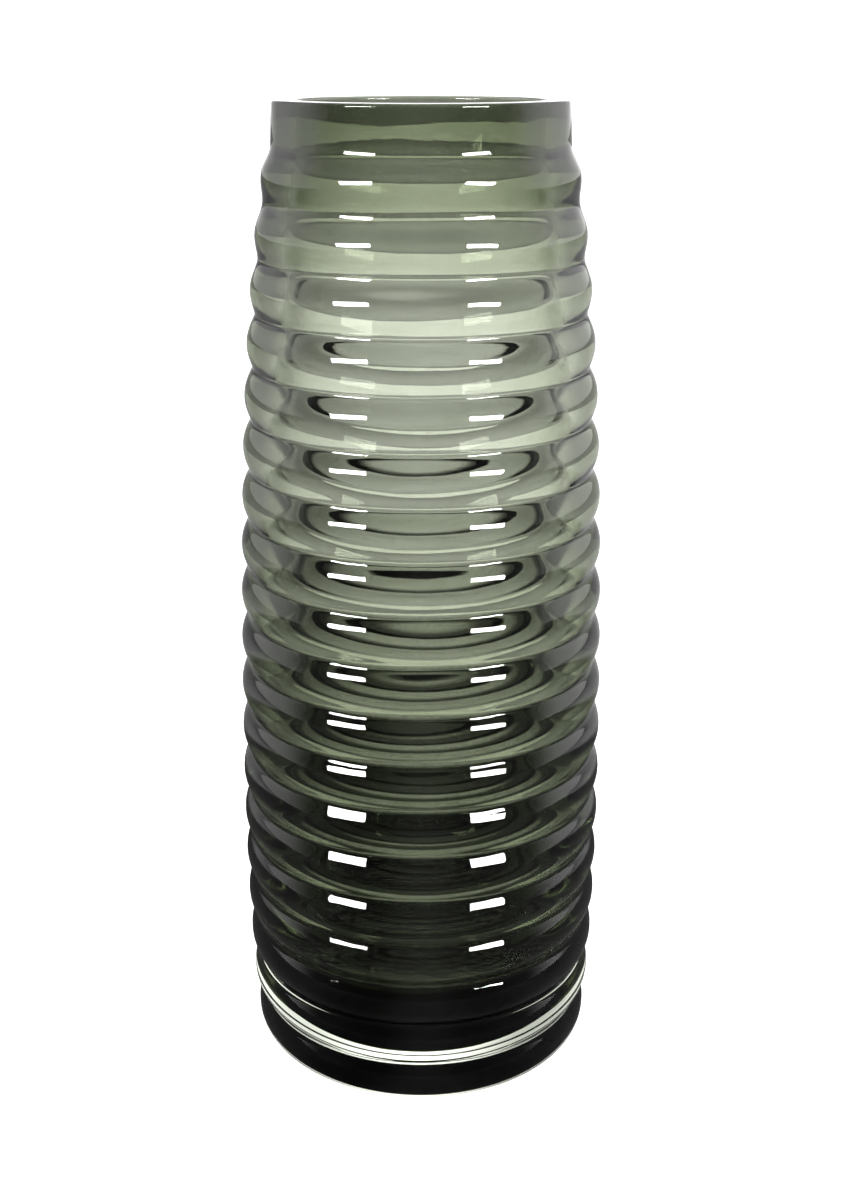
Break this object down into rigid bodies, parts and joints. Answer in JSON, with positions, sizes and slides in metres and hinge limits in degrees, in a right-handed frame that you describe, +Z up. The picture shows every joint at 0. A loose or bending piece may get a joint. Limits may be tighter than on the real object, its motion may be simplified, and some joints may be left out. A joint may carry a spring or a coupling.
{
  "type": "glass cylinder vase",
  "caption": "Tall, slightly barrel-shaped glass vase with stacked horizontal ribs, a plain collar, a smoke-tinted inner layer and a thick clear base.",
  "frame": {"origin": "centre of the base's underside, on the surface that the vase stands on", "axes": "+Z up along the vase's axis of revolution; X and Y are alike"},
  "size_m": [0.1376, 0.1376, 0.35],
  "materials": {
    "clear_glass": "fire-polished, clear",
    "smoke_glass": "polished, smoke grey-green, coloured through"
  },
  "bodies": {
    "root": {"clear_casing": "clear_glass", "tinted_bubble": "smoke_glass"}
  },
  "joints": []
}
